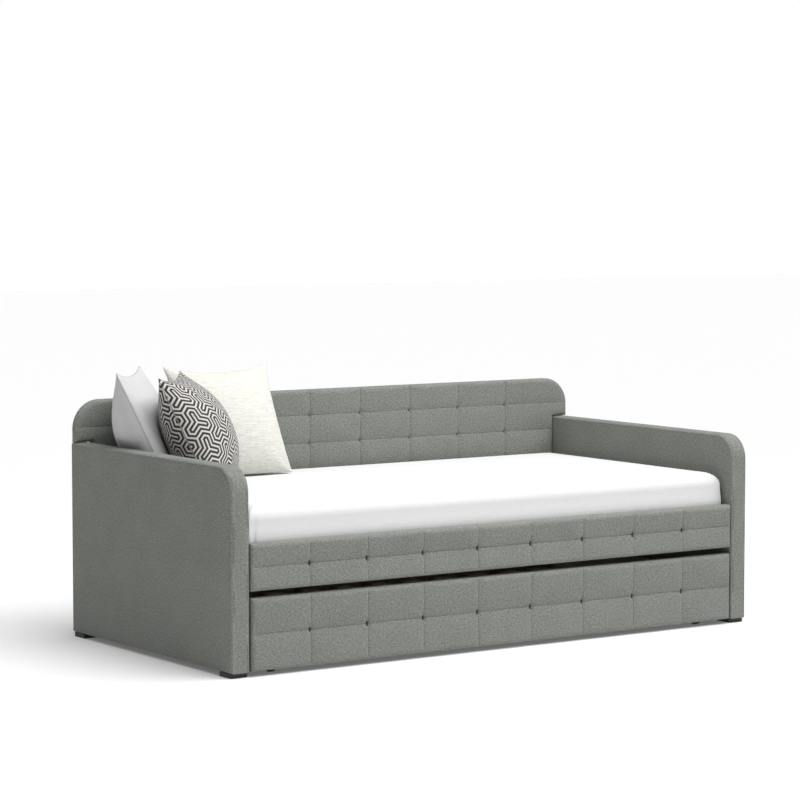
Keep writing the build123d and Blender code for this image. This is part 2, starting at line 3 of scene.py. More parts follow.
import bpy
import numpy as np
from mathutils import Euler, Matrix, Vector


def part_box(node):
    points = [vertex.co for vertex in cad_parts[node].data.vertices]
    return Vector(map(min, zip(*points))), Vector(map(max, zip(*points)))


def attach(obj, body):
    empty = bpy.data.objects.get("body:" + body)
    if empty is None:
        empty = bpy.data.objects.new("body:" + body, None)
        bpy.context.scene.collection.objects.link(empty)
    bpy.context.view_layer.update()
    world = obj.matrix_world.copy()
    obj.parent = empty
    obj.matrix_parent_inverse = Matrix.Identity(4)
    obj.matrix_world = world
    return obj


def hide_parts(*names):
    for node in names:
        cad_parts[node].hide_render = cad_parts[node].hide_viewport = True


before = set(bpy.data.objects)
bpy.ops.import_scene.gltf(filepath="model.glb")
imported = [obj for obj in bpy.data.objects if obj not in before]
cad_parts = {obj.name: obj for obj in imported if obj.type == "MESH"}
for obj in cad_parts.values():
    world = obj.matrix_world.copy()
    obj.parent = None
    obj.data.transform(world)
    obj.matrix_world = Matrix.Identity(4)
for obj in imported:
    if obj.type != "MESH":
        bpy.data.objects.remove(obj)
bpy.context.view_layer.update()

# ------------------------------------------------------------------ camera, floor and light
# A pale floor, a broad soft lamp high on the right, a soft box over the front, a lit ceiling.
# The camera stands to the left of the front, a little above the arms, with a long lens.
scene = bpy.context.scene
camera_data = bpy.data.cameras.new("camera")
camera_data.lens = 128.0
camera_data.sensor_width = 36.0
camera_data.clip_end = 100.0
camera = bpy.data.objects.new("camera", camera_data)
camera.location = (-5.5908, -8.1033, 1.5342)
camera.rotation_euler = (math.radians(90 - 4.26), 0.0, math.radians(-34.31))
scene.collection.objects.link(camera)
scene.camera = camera
scene.view_settings.view_transform = "Standard"


class Shade:
    """A shader socket that takes part in sums: each operation adds one Math node."""

    def __init__(self, tree, socket):
        self.tree = tree
        self.socket = socket

    def node(self, kind, settings=None, **inputs):
        """A node of that type: its settings first, then its sockets, by name or by _index."""
        made = self.tree.nodes.new("ShaderNode" + kind)
        for name, value in (settings or {}).items():
            if name == "ramp":
                stops = made.color_ramp.elements
                while len(stops) < len(value):
                    stops.new(1.0)
                for stop, (place, colour) in zip(stops, value):
                    stop.position = place
                    stop.color = colour
            else:
                setattr(made, name, value)
        for name, value in inputs.items():
            key = int(name[1:]) if name[0] == "_" else name.replace("_", " ")
            if isinstance(value, Shade):
                self.tree.links.new(value.socket, made.inputs[key])
            else:
                made.inputs[key].default_value = value
        return made

    def out(self, kind, output=0, settings=None, **inputs):
        """One output of a new node, wrapped."""
        return Shade(self.tree, self.node(kind, settings, **inputs).outputs[output])

    def math(self, operation, *values):
        """The result of one Math node, from shaders' values or plain numbers."""
        slots = {f"_{index}": value for index, value in enumerate(values)}
        return self.out("Math", 0, {"operation": operation}, **slots)

    def __add__(self, other):
        return self.math("ADD", self, other)

    def __sub__(self, other):
        return self.math("SUBTRACT", self, other)

    def __mul__(self, other):
        return self.math("MULTIPLY", self, other)

    def __truediv__(self, other):
        return self.math("DIVIDE", self, other)

    def __radd__(self, other):
        return self.math("ADD", other, self)

    def __rsub__(self, other):
        return self.math("SUBTRACT", other, self)

    def __rmul__(self, other):
        return self.math("MULTIPLY", other, self)

    def __lt__(self, other):
        return self.math("LESS_THAN", self, other)

    def sine(self):
        return self.math("SINE", self)

    def floor(self):
        return self.math("FLOOR", self)

    def size(self):
        """The value without its sign."""
        return self.math("ABSOLUTE", self)

    def most(self, other):
        """The larger of the two."""
        return self.math("MAXIMUM", self, other)

    def wrap(self, period):
        """The remainder after whole periods, from 0 up to the period."""
        return self.math("FLOORED_MODULO", self, period)

    def band(self, low, high):
        """0 below low, 1 above high and a smooth step between."""
        return self.out(
            "MapRange", 0, {"interpolation_type": "SMOOTHSTEP"},
            Value=self, From_Min=low, From_Max=high,
        )

    def blend(self, first, second):
        """A colour between two colours, by this value."""
        return self.out("Mix", 2, {"data_type": "RGBA"}, _0=self, _6=first, _7=second)


class Finish:
    """A material under way: its tree, its Principled shader and where its surface is."""

    def __init__(self, name, rough, **constants):
        self.material = bpy.data.materials.new(name)
        self.material.use_nodes = True
        self.tree = self.material.node_tree
        self.shader = self.tree.nodes["Principled BSDF"]
        self.shader.inputs["Roughness"].default_value = rough
        for key, value in constants.items():
            self.shader.inputs[key.replace("_", " ")].default_value = value
        start = Shade(self.tree, None)
        self.place = start.out("TexCoord", 3)
        self.start = start

    def cloth(self, name="cloth"):
        """Two values, in metres, along and across the cloth, from the piece's own map."""
        uv = self.start.out("UVMap", 0, {"uv_map": name})
        parts = self.start.node("SeparateXYZ", None, Vector=uv)
        return Shade(self.tree, parts.outputs[0]), Shade(self.tree, parts.outputs[1])

    def axes(self):
        """The three Object coordinates apart."""
        parts = self.start.node("SeparateXYZ", None, Vector=self.place)
        return [Shade(self.tree, socket) for socket in parts.outputs]

    def vector(self, x, y, z=0.0):
        """Three values joined into a place."""
        return self.start.out("CombineXYZ", 0, None, _0=x, _1=y, _2=z)

    def noise(self, where, scale, detail=2.0, rough=0.5):
        """Soft noise from about 0 to 1, with that many details to a unit of place."""
        return self.start.out(
            "TexNoise", 0, None, Vector=where, Scale=scale, Detail=detail, Roughness=rough
        )

    def feed(self, **links):
        """Values led to the surface's own sockets, by their names."""
        for name, value in links.items():
            self.tree.links.new(value.socket, self.shader.inputs[name.replace("_", " ")])

    def bump(self, height, depth, strength=1.0):
        """Fine relief: a height of 1 stands up by the depth, in metres."""
        made = self.start.out("Bump", 0, None, Height=height, Distance=depth, Strength=strength)
        self.feed(Normal=made)


def plain_floor():
    """A matt painted floor that runs far past the bed and glows faintly."""
    finish = Finish("floor_paint", 0.9, Base_Color=(0.76, 0.76, 0.76, 1.0))
    finish.shader.inputs["Emission Color"].default_value = (1.0, 0.99, 0.99, 1.0)
    finish.shader.inputs["Emission Strength"].default_value = 0.12
    finish.shader.inputs["Specular IOR Level"].default_value = 0.1
    mesh = bpy.data.meshes.new("floor")
    reach = 30.0
    mesh.from_pydata(
        [(-reach, -reach, 0), (reach, -reach, 0), (reach, reach, 0), (-reach, reach, 0)],
        [], [(0, 1, 2, 3)],
    )
    mesh.materials.append(finish.material)
    floor = bpy.data.objects.new("floor", mesh)
    scene.collection.objects.link(floor)


plain_floor()

# the room looks white, and its light grows as the square of the height towards the ceiling
world = bpy.data.worlds.new("room")
world.use_nodes = True
room = Shade(world.node_tree, None)
direction = room.node("SeparateXYZ", None, Vector=room.out("TexCoord", 0))
height = Shade(world.node_tree, direction.outputs[2])
seen = room.out("LightPath", 0)
sky = room.node(
    "Background", None, Color=(1.0, 1.0, 1.0, 1.0), Strength=seen.most(height * height + 0.06)
)
world.node_tree.links.new(sky.outputs[0], world.node_tree.nodes["World Output"].inputs[0])
scene.world = world

lamp = bpy.data.lights.new("soft_overhead", "SUN")
lamp.energy = 2.2
lamp.angle = math.radians(55)
soft_overhead = bpy.data.objects.new("soft_overhead", lamp)
soft_overhead.rotation_euler = Euler((math.radians(30), 0.0, math.radians(35)))
scene.collection.objects.link(soft_overhead)

panel_lamp = bpy.data.lights.new("soft_box", "AREA")
panel_lamp.shape = "RECTANGLE"
panel_lamp.size = 2.6
panel_lamp.size_y = 1.2
panel_lamp.energy = 27.0
soft_box = bpy.data.objects.new("soft_box", panel_lamp)
soft_box.location = (0.3, -0.95, 2.45)
soft_box.rotation_euler = Euler((math.radians(33), 0.0, 0.0))
soft_box.visible_camera = False
scene.collection.objects.link(soft_box)

# ------------------------------------------------------------------ upholstery cloth
# The arms, rail, back panel and trundle front are covered in one grey-green heather cloth.
# Two tones of yarn are woven in a plain weave, so that fine light and dark flecks show.


def heather_cloth(name, dark, mid, pale):
    """Yarns of uneven tone each way over an under-and-over weave of 1.7 mm."""
    finish = Finish(name, 0.92, Sheen_Weight=0.12, Sheen_Roughness=0.5, Specular_IOR_Level=0.2)
    weave = 0.0017
    u, v = finish.cloth()
    thread = math.pi / weave
    weft = finish.noise(finish.vector(u * 110.0, v * 700.0), 1.0, 3.0, 0.6)
    warp = finish.noise(finish.vector(u * 700.0, v * 110.0, 7.0), 1.0, 3.0, 0.6)
    fleck = finish.noise(finish.vector(u * 260.0, v * 260.0, 3.0), 1.0, 2.0, 0.7)
    cloud = finish.noise(finish.vector(u * 9.0, v * 9.0, 11.0), 1.0, 2.0, 0.5)
    over = (u * thread).sine() * (v * thread).sine()
    side = over.band(-0.35, 0.35)
    yarn = side * weft + (1 - side) * warp
    blot = finish.noise(finish.vector(u * 150.0, v * 150.0, 5.0), 1.0, 1.0, 0.5)
    tone = (yarn - 0.5) * 1.3 + (fleck - 0.5) * 1.1 + (blot - 0.5) * 0.6 + (cloud - 0.5) * 0.15 + 0.5
    low = tone.band(0.15, 0.55).blend(dark, mid)
    high = tone.band(0.5, 0.95).blend(low, pale)
    finish.feed(Base_Color=high)
    ridge = over.size() * 0.6 + yarn * 0.5 + fleck * 0.35
    finish.bump(ridge, 0.0005, 0.8)
    return finish.material


heather = heather_cloth(
    "heather_cloth", (0.110, 0.118, 0.105, 1), (0.208, 0.220, 0.199, 1), (0.346, 0.359, 0.332, 1)
)

# ------------------------------------------------------------------ arms
# Each arm is a timber frame wrapped in foam and cloth: two side panels, and one long strip
# over the front, the round corner and the top, sewn to them with a narrow seam at each edge.


def spread(stops, cells, ease):
    """Grid lines between the stops, closer together near each one.

    Between two stops a line at share t lies at t - ease * sin(2 pi t) / (2 pi) of the way.
    """
    lines = [np.array([stops[0]], float)]
    for start, end, count in zip(stops, stops[1:], cells):
        t = np.arange(1, count + 1) / count
        t = t - ease * np.sin(2 * np.pi * t) / (2 * np.pi)
        lines.append(start + (end - start) * t)
    return np.concatenate(lines)


def board_skin(across, up, depths, keep=None):
    """The closed skin of a board, as points (across, up, depth) and four-cornered faces.

    The board's face is a grid of the across and up lines, at the first depth and at the last,
    and a wall of all the depths runs round the cells that are kept.
    """
    count_a, count_u, count_d = len(across), len(up), len(depths)
    cells = np.ones((count_u - 1, count_a - 1), bool) if keep is None else keep
    layer = count_a * count_u
    number = np.arange(layer).reshape(count_u, count_a)
    row, column = np.nonzero(cells)
    a, b = number[row, column], number[row, column + 1]
    c, d = number[row + 1, column + 1], number[row + 1, column]
    last = (count_d - 1) * layer
    faces = [np.stack([a, b, c, d], 1), np.stack([a, d, c, b], 1) + last]
    padded = np.pad(cells, 1)
    inner = padded[1:-1, 1:-1]
    edges = []
    for beyond, start, end in (
        (padded[:-2, 1:-1], (0, 0), (0, 1)),
        (padded[2:, 1:-1], (1, 1), (1, 0)),
        (padded[1:-1, :-2], (1, 0), (0, 0)),
        (padded[1:-1, 2:], (0, 1), (1, 1)),
    ):
        row, column = np.nonzero(inner & ~beyond)
        edges.append(
            np.stack(
                [number[row + start[0], column + start[1]], number[row + end[0], column + end[1]]],
                1,
            )
        )
    edges = np.concatenate(edges)
    start, end = edges.T
    for step in range(count_d - 1):
        low, high = step * layer, (step + 1) * layer
        faces.append(np.stack([end + low, start + low, start + high, end + high], 1))
    faces = np.concatenate(faces)
    depth, height, width = np.meshgrid(depths, up, across, indexing="ij")
    points = np.stack([width, height, depth], -1).reshape(-1, 3)
    used, faces = np.unique(faces, return_inverse=True)
    return points[used], faces.reshape(-1, 4)


def round_corner(a, b, corner_a, corner_b, radius):
    """Points near a square corner drawn in to a round one, with their distance from it kept.

    Within the corner's square, a point (p, q) from the arc's centre is scaled by the larger of
    |p| and |q| over its distance from the centre.
    """
    centre_a = corner_a - math.copysign(radius, corner_a)
    centre_b = corner_b - radius
    p = a - centre_a
    q = b - centre_b
    inside = (p * math.copysign(1.0, corner_a) > 0) & (q > 0)
    scale = np.maximum(abs(p), abs(q)) / np.maximum(np.hypot(p, q), 1e-9)
    return np.where(inside, centre_a + p * scale, a), np.where(inside, centre_b + q * scale, b)


def edge_drop(distance, radius):
    """How far a soft edge of that radius falls at that distance in from the edge."""
    t = np.clip(1 - distance / radius, 0, 1)
    return radius * (1 - np.sqrt(np.maximum(0, 1 - t * t)))


def lay_cloth(mesh):
    """The piece's cloth map, in metres: each face takes the two axes that it faces least."""
    corners = len(mesh.loops)
    place = np.empty(len(mesh.vertices) * 3)
    mesh.vertices.foreach_get("co", place)
    place = place.reshape(-1, 3)
    owner = np.empty(corners, int)
    mesh.loops.foreach_get("vertex_index", owner)
    normal = np.empty(len(mesh.polygons) * 3)
    mesh.polygons.foreach_get("normal", normal)
    sides = np.empty(len(mesh.polygons), int)
    mesh.polygons.foreach_get("loop_total", sides)
    facing = np.repeat(np.abs(normal.reshape(-1, 3)).argmax(1), sides)
    points = place[owner]
    first = np.where(facing == 0, points[:, 1], points[:, 0])
    second = np.where(facing == 2, points[:, 1], points[:, 2])
    layer = mesh.uv_layers.new(name="cloth")
    layer.data.foreach_set("uv", np.stack([first, second], 1).ravel())


def make_piece(name, points, faces, material, body, replaced, cloth=None):
    """A mesh object from arrays, with its material, smooth faces and its body.

    Its cloth map is the one given, a pair of values for each point, or else lay_cloth's.
    """
    mesh = bpy.data.meshes.new(name)
    mesh.from_pydata(points.tolist(), [], faces.tolist())
    mesh.polygons.foreach_set("use_smooth", np.ones(len(mesh.polygons), bool))
    mesh.materials.append(material)
    if cloth is None:
        lay_cloth(mesh)
    else:
        layer = mesh.uv_layers.new(name="cloth")
        owner = np.empty(len(mesh.loops), int)
        mesh.loops.foreach_get("vertex_index", owner)
        layer.data.foreach_set("uv", cloth[owner].ravel())
    mesh.validate()
    item = bpy.data.objects.new(name, mesh)
    scene.collection.objects.link(item)
    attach(item, body)
    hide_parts(*replaced)
    return item


def ripple(a, b, seed, wave):
    """A gentle unevenness from -1 to 1: a few crossed waves with lengths near the one given.

    Each wave is the sine of the distance along its own direction over its own length.
    """
    count = 7
    turn = np.random.default_rng(seed)
    total = np.zeros(np.broadcast(a, b).shape)
    for _ in range(count):
        angle = turn.uniform(0, 2 * np.pi)
        rate = 2 * np.pi / (wave * turn.uniform(0.6, 1.6))
        total += np.sin((a * np.cos(angle) + b * np.sin(angle)) * rate + turn.uniform(0, 6.3))
    return total / count


def arm(side):
    """One arm, from a board with its face to the outside.

    The side panels are crowned by up to 2 mm, a seam 1.4 mm deep runs just inside their edges,
    and the strip between them is slightly full.
    """
    low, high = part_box(f"{side}_arm_cover")
    radius = 0.085
    soft = 0.009
    seam_line = 0.0092
    panel_edge = 0.0105
    thickness = high[0] - low[0]
    front, back, bottom, top = low[1], high[1], low[2], high[2]
    rim = np.array(
        [0, 0.0004, 0.001, 0.002, 0.0035, 0.005, 0.0065, 0.008, 0.0092, 0.0104, 0.012, 0.015]
    )
    inner_y = np.linspace(front + 0.022, back - 0.022, 64)
    inner_z = np.linspace(bottom + 0.022, top - 0.022, 44)
    across = np.concatenate([front + rim, inner_y, back - rim[::-1]])
    up = np.concatenate([bottom + rim, inner_z, top - rim[::-1]])
    depths = np.concatenate([[0.0], np.linspace(soft, thickness - soft, 12), [thickness]])
    points, faces = board_skin(across, up, depths)
    y, z, d = points.T
    edge = np.minimum(np.minimum(y - front, back - y), np.minimum(z - bottom, top - z))
    outer = d < 1e-6
    inner = d > thickness - 1e-6
    flat = outer | inner
    drop = edge_drop(edge, soft)
    seam = 0.0014 * np.exp(-(((edge - seam_line) / 0.0011) ** 2))
    crown = 0.0016 * (1 - np.exp(-((edge / 0.05) ** 2)))
    crown = crown + 0.0007 * ripple(y, z, 5, 0.22) * np.clip(edge / 0.05, 0, 1)
    sink = drop + seam - crown * np.clip((edge - panel_edge) / 0.01, 0, 1)
    d = np.where(outer, sink, np.where(inner, thickness - sink, d))
    wall = ~flat & (edge < 1e-6)
    share = (d - thickness / 2) / (thickness / 2 - soft)
    fullness = np.where(wall, 0.0012 * (1 - share**2) + 0.0004 * ripple(y + z, d, 3, 0.2), 0)
    y = y + fullness * np.where(y < front + 1e-6, -1, np.where(y > back - 1e-6, 1, 0))
    z = z + fullness * np.where(z > top - 1e-6, 1, 0)
    a, b = round_corner(y, z, front, top, radius)
    x = low[0] + d if side == "left" else high[0] - d
    if side == "left":
        faces = faces[:, ::-1]
    points = np.stack([x, a, b], 1)
    item = make_piece(
        f"{side}_arm_upholstery", points, faces, heather, "bed_frame",
        [f"{side}_arm_cover"],
    )


arm("left")
arm("right")

# ------------------------------------------------------------------ quilted front rail and trundle front
# Each is a board wrapped in foam and cloth, sewn into nine columns and two rows. A thread
# pulls the cloth down hard where the seams cross, so that it puckers there.


def quilting(a, b, lines_a, lines_b, puffs, tufts):
    """How far the padding stands below its full height at (a, b).

    Beside a seam the padding falls away as exp(-(distance / reach) ** 1.25), with a narrow
    groove in it. The falls of the two ways of seams add as the root of their squares. Each
    tuft adds an upright pit that fades with distance, and creases that run out from it.
    """
    groove_width = 0.0022
    crease_depth, crease_reach = 0.0013, 0.024
    falls = np.zeros((2,) + a.shape)
    for index, (lines, value, (fall, reach, groove)) in enumerate(
        ((lines_a, a, puffs[0]), (lines_b, b, puffs[1]))
    ):
        for line in lines:
            near = abs(value - line)
            falls[index] += fall * np.exp(-((near / reach) ** 1.25))
            falls[index] += groove * np.exp(-((near / groove_width) ** 2))
    sunk = np.hypot(*falls)
    pit_depth, pit_reach, points = tufts
    for x, z in points:
        dx, dz = a - x, b - z
        away = np.hypot(dx, dz)
        turn = np.arctan2(dz, dx)
        pull = np.exp(-((np.hypot(dx / 0.75, dz / 1.4) / pit_reach) ** 1.6))
        crease = np.cos(turn * 6 + 0.7 * np.sin(turn * 2 + x * 40)) * np.clip(away / 0.008, 0, 1)
        sunk += pit_depth * pull + crease_depth * np.exp(-away / crease_reach) * crease
    return sunk


def quilted_front(name, body, seed):
    """A padded front in one skin; the front is quilted, the edges are soft and the back is flat."""
    low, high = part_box(f"{name}_cover")
    soft = 0.011
    puff = 0.0035
    notch_depth = 0.0008
    half, bottom, top, front, back = high[0], low[2], high[2], low[1], high[1]
    seams = np.linspace(-half, half, 10)
    middle = (bottom + top) / 2
    across = spread(seams, [34] * 9, 0.86)
    up = spread([bottom, middle, top], [26, 26], 0.86)
    depth = back - front
    depths = np.concatenate([[0.0], np.linspace(soft + 0.003, depth, 6)])
    points, faces = board_skin(across, up, depths)
    x, z, d = points.T
    edge = np.minimum(np.minimum(x + half, half - x), np.minimum(z - bottom, top - z))
    face = d < 1e-6
    tufts = [(seam, middle) for seam in seams[1:-1]]
    sunk = quilting(
        x, z, seams[1:-1], [middle],
        ((0.0046, 0.017, 0.0016), (0.0078, 0.032, 0.0018)), (0.0068, 0.0085, tufts),
    )
    sunk = sunk + 0.0006 * ripple(x, z, seed, 0.16)
    d = np.where(face, edge_drop(edge, soft) + (sunk - puff) * np.clip(edge / 0.014, 0.15, 1), d)
    # the seams pull the cloth a little at the top and bottom edges too
    notch = notch_depth * sum(np.exp(-(((x - seam) / 0.012) ** 2)) for seam in seams[1:-1])
    wall = (~face) & (d < depth - 0.004)
    z = z - np.where(wall & (z > top - 1e-6), notch, 0) + np.where(wall & (z < bottom + 1e-6), notch, 0)
    points = np.stack([x, front + d, z], 1)
    item = make_piece(
        f"{name}_upholstery", points, faces, heather, body, [f"{name}_cover"]
    )
    return tufts, front


def thread(name, dark, pale):
    """Twisted yarn: slanting stripes of two tones."""
    finish = Finish(name, 0.9)
    x, _, z = finish.axes()
    twist = (z * 2600.0 + x * 1500.0).sine()
    finish.feed(Base_Color=(twist * 0.5 + 0.5).blend(dark, pale))
    finish.bump(twist, 0.0002)
    return finish.material


# The rail's and trundle front's knots are real thread, made near black and large enough to fill the deep
# pits: partly painted shade of the pits.
pit_shade_thread = thread("tuft_thread_painted_pit_shade", (0.020, 0.022, 0.020, 1), (0.055, 0.060, 0.055, 1))


def tuft_knots(name, body, tufts, front, sink, half, material):
    """The knots of thread at the bottom of the pits: small upright ovals, each a lathed bead.

    A bead's radius at share t of its half height is the square root of 1 - t squared.
    """
    rings, around = 7, 10
    t = np.linspace(-1, 1, rings + 2)[1:-1]
    t, turn = np.meshgrid(t, np.arange(around) * 2 * np.pi / around, indexing="ij")
    radius = np.sqrt(1 - t**2)
    bead = np.stack([half[0] * radius * np.cos(turn), half[1] * radius * np.sin(turn), half[2] * t], -1)
    bead = np.concatenate([[[0, 0, -half[2]]], bead.reshape(-1, 3), [[0, 0, half[2]]]])
    ring = np.arange(rings * around).reshape(rings, around) + 1
    top_pole = rings * around + 1
    beside = np.roll(ring, -1, 1)
    triangles = np.concatenate([
        np.stack([ring[:-1], beside[:-1], beside[1:]], -1).reshape(-1, 3),
        np.stack([ring[:-1], beside[1:], ring[1:]], -1).reshape(-1, 3),
        np.stack([np.zeros(around, int), beside[0], ring[0]], -1),
        np.stack([ring[-1], beside[-1], np.full(around, top_pole)], -1),
    ])
    points, faces = [], []
    for index, (x, z) in enumerate(tufts):
        points.append(bead + (x, front + sink, z))
        faces.append(triangles + len(bead) * index)
    make_piece(
        f"{name}_knots", np.concatenate(points), np.concatenate(faces), material, body,
        [f"{name}_tufts"],
    )


pit_floor = 0.0098
# these long dark knots are thread and also painted shade for the dark of the deep pits
pit_shade_knot = (0.0042, 0.0026, 0.0120)
for name, body, seed in (("front_rail", "bed_frame", 21), ("trundle_front", "trundle", 22)):
    tufts, front = quilted_front(name, body, seed)
    tuft_knots(name, body, tufts, front, pit_floor, pit_shade_knot, pit_shade_thread)

# ------------------------------------------------------------------ back panel
# A T-shaped board padded on its front, whose upper part reaches over both arms and ends in
# round corners. It is sewn into nine columns, with three rows of tufts, and its top is plain.


def back_panel():
    """The panel in one skin, its seams and tufts sunk as on the rail."""
    low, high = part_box("back_panel_cover")
    arm_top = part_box("left_arm_cover")[1][2]
    step_z = arm_top + 0.0020
    neck = -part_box("left_arm_cover")[1][0] - 0.0015
    puff = 0.0035
    wide, bottom, top, front = high[0], low[2], high[2], low[1]
    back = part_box("back_panel_rear")[0][1] + 0.0001
    soft = 0.010
    corner_radius = 0.100
    column_pitch = 0.218
    top_row, row_pitch = 0.093, 0.101
    columns = column_pitch * (np.arange(8) - 3.5)
    rows = top - top_row - row_pitch * np.arange(3)
    across = spread([-wide, -neck, *columns, neck, wide], [16] + [30] * 9 + [16], 0.86)
    up = spread([bottom, rows[2], rows[1], step_z, rows[0], top], [30, 26, 16, 16, 26], 0.8)
    above = (up[:-1] + up[1:]) / 2 > step_z
    between = abs(across[:-1] + across[1:]) / 2 < neck
    keep = above[:, None] | between[None]
    depth = back - front
    depths = np.concatenate([[0.0], np.linspace(soft + 0.003, depth, 6)])
    points, faces = board_skin(across, up, depths, keep)
    x, z, d = points.T
    side = abs(x)
    upper = z > step_z - 1e-7
    corner = np.hypot(np.maximum(neck - side, 0), z - step_z)
    over_arm = np.where(side > neck - 1e-7, z - step_z, corner)
    beside = np.where(upper, np.minimum(wide - side, over_arm), neck - side)
    beside = np.where(upper & (side < neck), np.minimum(wide - side, corner), beside)
    edge = np.clip(np.minimum(np.minimum(top - z, z - bottom), beside), 0, None)
    face = d < 1e-6
    tufts = [(column, row) for row in rows for column in columns]
    sunk = quilting(
        x, z, columns, rows,
        ((0.0050, 0.018, 0.0018), (0.0044, 0.026, 0.0009)), (0.0062, 0.0085, tufts),
    )
    sunk = sunk + 0.0005 * ripple(x, z, 31, 0.18)
    d = np.where(face, edge_drop(edge, soft) + (sunk - puff) * np.clip(edge / 0.014, 0.15, 1), d)
    for sign in (-1, 1):
        x, z = round_corner(x, z, sign * wide, top, corner_radius)
    points = np.stack([x, front + d, z], 1)
    item = make_piece(
        "back_panel_upholstery", points, faces, heather, "bed_frame", ["back_panel_cover"],
    )
    return tufts, front


panel_tufts, panel_face = back_panel()
soft_thread = thread("panel_thread", (0.045, 0.049, 0.045, 1), (0.10, 0.108, 0.10, 1))
small_knot = (0.0018, 0.0015, 0.0050)
tuft_knots("back_panel", "bed_frame", panel_tufts, panel_face, 0.0088, small_knot, soft_thread)

# ------------------------------------------------------------------ mattress
# A foam mattress in a plain white cover: a crowned top and bottom, straight sides with full
# edges, and a fine woven grid in the cloth.


def white_cover(name, tone, grid, depth):
    """White cotton: a fine grid of threads and faint clouds of tone."""
    finish = Finish(name, 0.85, Sheen_Weight=0.08, Specular_IOR_Level=0.25)
    u, v = finish.cloth()
    rate = 2 * math.pi / grid
    threads = (u * rate).sine().size() * (v * rate).sine().size()
    slub = finish.noise(finish.vector(u * 40.0, v * 420.0), 1.0, 3.0, 0.6)
    cross = finish.noise(finish.vector(u * 420.0, v * 40.0, 5.0), 1.0, 3.0, 0.6)
    soft = [channel * 0.93 for channel in tone] + [1.0]
    yarn = (slub + cross) * 0.5
    finish.feed(Base_Color=(yarn + threads * 0.15).band(0.3, 0.75).blend(soft, [*tone, 1.0]))
    finish.bump(threads * 0.6 + yarn, depth, 0.7)
    return finish.material


def mattress():
    """One skin: the top crowned towards its middle, its edge round, its sides a little full.

    Each end is drawn out towards its arm, by the square of the share of the last 0.3 m.
    """
    low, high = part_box("mattress")
    radius = 0.008
    soft = 0.046
    end_reach = 0.3
    right_stretch, left_stretch = 0.011, 0.019
    thick = high[2] - low[2]
    rim = np.array(
        [0, 0.0006, 0.002, 0.0045, 0.008, 0.0125, 0.018, 0.025, 0.034, 0.04, 0.046, 0.06, 0.08, 0.1]
    )
    inner_x = np.linspace(low[0] + 0.13, high[0] - 0.13, 60)
    inner_y = np.linspace(low[1] + 0.13, high[1] - 0.13, 30)
    across = np.concatenate([low[0] + rim, inner_x, high[0] - rim[::-1]])
    up = np.concatenate([low[1] + rim, inner_y, high[1] - rim[::-1]])
    depths = np.concatenate([[0.0], np.linspace(soft + 0.006, thick - 0.02, 14), [thick]])
    points, faces = board_skin(across, up, depths)
    x, y, d = points.T
    edge = np.minimum(np.minimum(x - low[0], high[0] - x), np.minimum(y - low[1], high[1] - y))
    top = d < 1e-6
    base = d > thick - 1e-6
    crown = 0.006 * (1 - np.exp(-((edge / 0.25) ** 2)))
    waves = 0.0012 * ripple(x, y, 41, 0.5) * np.clip(edge / 0.15, 0, 1)
    d = np.where(base, thick - edge_drop(edge, 0.02), d)
    d = np.where(top, edge_drop(edge, soft) + 0.002 - crown + waves, d)
    share = np.clip((d - soft - 0.006) / (thick - 0.026 - soft), 0, 1)
    wall = (edge < 1e-6) & ~top & ~base
    full = np.where(wall, 0.005 * np.sin(np.pi * share) ** 2, 0)
    x = x + full * np.where(x < low[0] + 1e-6, -1, np.where(x > high[0] - 1e-6, 1, 0))
    right_share = np.clip((x - high[0] + end_reach) / end_reach, 0, 1)
    left_share = np.clip((low[0] + end_reach - x) / end_reach, 0, 1)
    x = x + right_stretch * right_share**2 - left_stretch * left_share**2
    y = y + full * np.where(y < low[1] + 1e-6, -1, np.where(y > high[1] - 1e-6, 1, 0))
    centre_x, centre_y = (low[0] + high[0]) / 2, (low[1] + high[1]) / 2
    half_x, half_y = (high[0] - low[0]) / 2, (high[1] - low[1]) / 2
    a, b = x - centre_x, y - centre_y
    for sign in (-1, 1):
        a, b = round_corner(a, b, sign * half_x, half_y, radius)
        a, b = round_corner(a, -b, sign * half_x, half_y, radius)
        b = -b
    points = np.stack([a + centre_x, b + centre_y, high[2] - d], 1)
    cover = white_cover("mattress_cotton", (0.73, 0.73, 0.73), 0.006, 0.0006)
    item = make_piece("mattress_cover", points, faces, cover, "bed_frame", ["mattress"])


mattress()

# ------------------------------------------------------------------ loose cushions
# Three stuffed squares. Two stand across the left corner, a white pillow behind and a printed
# one in front, and a cream one of slub cloth faces forwards against the back panel.


resting_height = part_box("mattress")[1][2] + 0.0045
arm_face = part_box("left_arm_cover")[1][0] + 0.0035
arm_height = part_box("left_arm_cover")[1][2]


def fullness(u, v):
    """The share of a cushion's thickness at (u, v), from -1 to 1 each way: 1 in the middle.

    It falls as (1 - u squared) ** 0.52 times (1 - v squared) ** 0.66, or ** 0.5 in the lower
    half, and the stuffing has sunk a little.
    """
    fall = np.clip(1 - u**2, 0, None) ** 0.52 * np.clip(1 - v**2, 0, None) ** np.where(v > 0, 0.66, 0.5)
    return fall * (1 - 0.12 * v)


def eased(height, width):
    """The height itself above that width, and below it a curve that flattens out at 0.

    The curve is the width times e to the power (height / width - 1).
    """
    return np.where(height > width, height, width * np.exp(np.minimum(height, width) / width - 1))


def squares(grid):
    """The four-cornered faces between the neighbours of a grid of point numbers."""
    corners = [grid[:-1, :-1], grid[:-1, 1:], grid[1:, 1:], grid[1:, :-1]]
    return np.stack(corners, -1).reshape(-1, 4)


